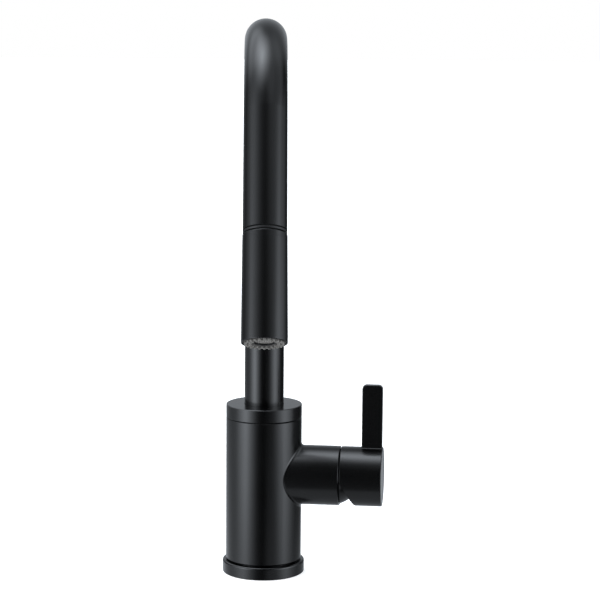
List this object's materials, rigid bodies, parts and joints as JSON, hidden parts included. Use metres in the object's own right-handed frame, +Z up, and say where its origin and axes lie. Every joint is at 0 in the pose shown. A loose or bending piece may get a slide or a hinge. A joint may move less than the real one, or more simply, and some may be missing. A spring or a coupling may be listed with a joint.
{
  "type": "pull-down kitchen faucet",
  "caption": "Single-handle gooseneck kitchen faucet with a swivelling spout, a pull-down spray head and a side lever, for one deck hole.",
  "frame": {"origin": "centre of the base on the deck plane, on the spout's swivel axis", "axes": "+Z up along the swivel axis, +X out along the handle axis, spout over the sink towards -Y and turned 7 degrees towards +X at rest"},
  "size_m": [0.1173, 0.2446, 0.4041],
  "materials": {
    "black_metal": "matte black powder coat",
    "black_plastic": "matte black",
    "grey_plastic": "moulded, matte",
    "nozzle_rubber": "soft grey silicone",
    "rubber": "matte",
    "white_plastic": "moulded acetal",
    "hose": "braided nylon over tube",
    "brass": "turned",
    "steel": "stainless",
    "ceramic": "lapped"
  },
  "bodies": {
    "root": {"faucet_body": "black_metal", "base_flange": "black_metal", "base_gasket": "rubber", "swivel_collar": "black_metal", "swivel_bush": "white_plastic", "hose_in_body": "hose", "cartridge_base": "white_plastic", "port_seals": "rubber", "ceramic_disc_fixed": "ceramic", "cartridge_housing": "white_plastic", "cartridge_nut": "brass", "bonnet_dome": "black_metal"},
    "spout": {"spout_tube": "black_metal", "spout_post": "brass", "spout_retaining_ring": "steel", "spout_orings": "rubber", "spout_thrust_washer": "white_plastic", "hose_in_spout": "hose", "dock_ring": "black_plastic"},
    "hose_end": {"hose_pull_end": "hose", "hose_ferrule": "brass", "hose_tail": "brass", "hose_tail_oring": "rubber"},
    "spray_head": {"head_shell": "black_plastic", "head_neck": "grey_plastic", "hose_nut": "brass", "check_valve": "white_plastic", "waterway_core": "grey_plastic", "button_spring": "steel", "nozzle_plate": "grey_plastic", "nozzle_pad": "nozzle_rubber", "aerator_housing": "grey_plastic", "aerator_screen": "steel"},
    "spray_button": {"spray_button": "black_plastic", "diverter_spool": "white_plastic"},
    "handle_rotor": {"cartridge_rotor": "white_plastic", "pivot_pin": "steel"},
    "valve_disc": {"ceramic_disc_moving": "ceramic", "disc_carrier": "white_plastic"},
    "lever": {"handle_hub": "black_metal", "handle_blade": "black_metal", "cartridge_stem": "steel", "handle_set_screw": "steel", "set_screw_plug": "black_plastic"}
  },
  "joints": [
    {"name": "spout_swivel", "type": "hinge", "parent": "root", "child": "spout", "pos_m": [0, 0, 0.1], "axis": [0, 0, 1], "continuous": true},
    {"name": "head_pull", "type": "slide", "parent": "spout", "child": "hose_end", "axis": [0.0486, -0.3958, -0.9171], "range_m": [0, 0.15], "stiffness_N_per_m": 4, "springref_m": -1.1},
    {"name": "head_turn", "type": "hinge", "parent": "hose_end", "child": "spray_head", "pos_m": [0.02111, -0.17195, 0.27124], "axis": [0.0486, -0.3958, -0.9171], "continuous": true},
    {"name": "button_press", "type": "slide", "parent": "spray_head", "child": "spray_button", "axis": [0.1118, -0.9102, 0.3988], "range_m": [0, 0.0018], "stiffness_N_per_m": 1000, "springref_m": -0.002, "deforming": ["button_spring"]},
    {"name": "handle_temperature", "type": "hinge", "parent": "root", "child": "handle_rotor", "pos_m": [0, 0, 0.0728], "axis": [1, 0, 0], "range_deg": [-45, 45]},
    {"name": "handle_flow", "type": "hinge", "parent": "handle_rotor", "child": "lever", "pos_m": [0.05, 0, 0.0728], "axis": [0, 1, 0], "range_deg": [0, 25]},
    {"name": "valve_slide", "type": "slide", "parent": "handle_rotor", "child": "valve_disc", "axis": [0, 0, 1], "range_m": [0, 0.00375]}
  ],
  "couplings": [
    {"joint": "valve_slide", "follows": "handle_flow", "m_per_rad": 0.008524}
  ]
}
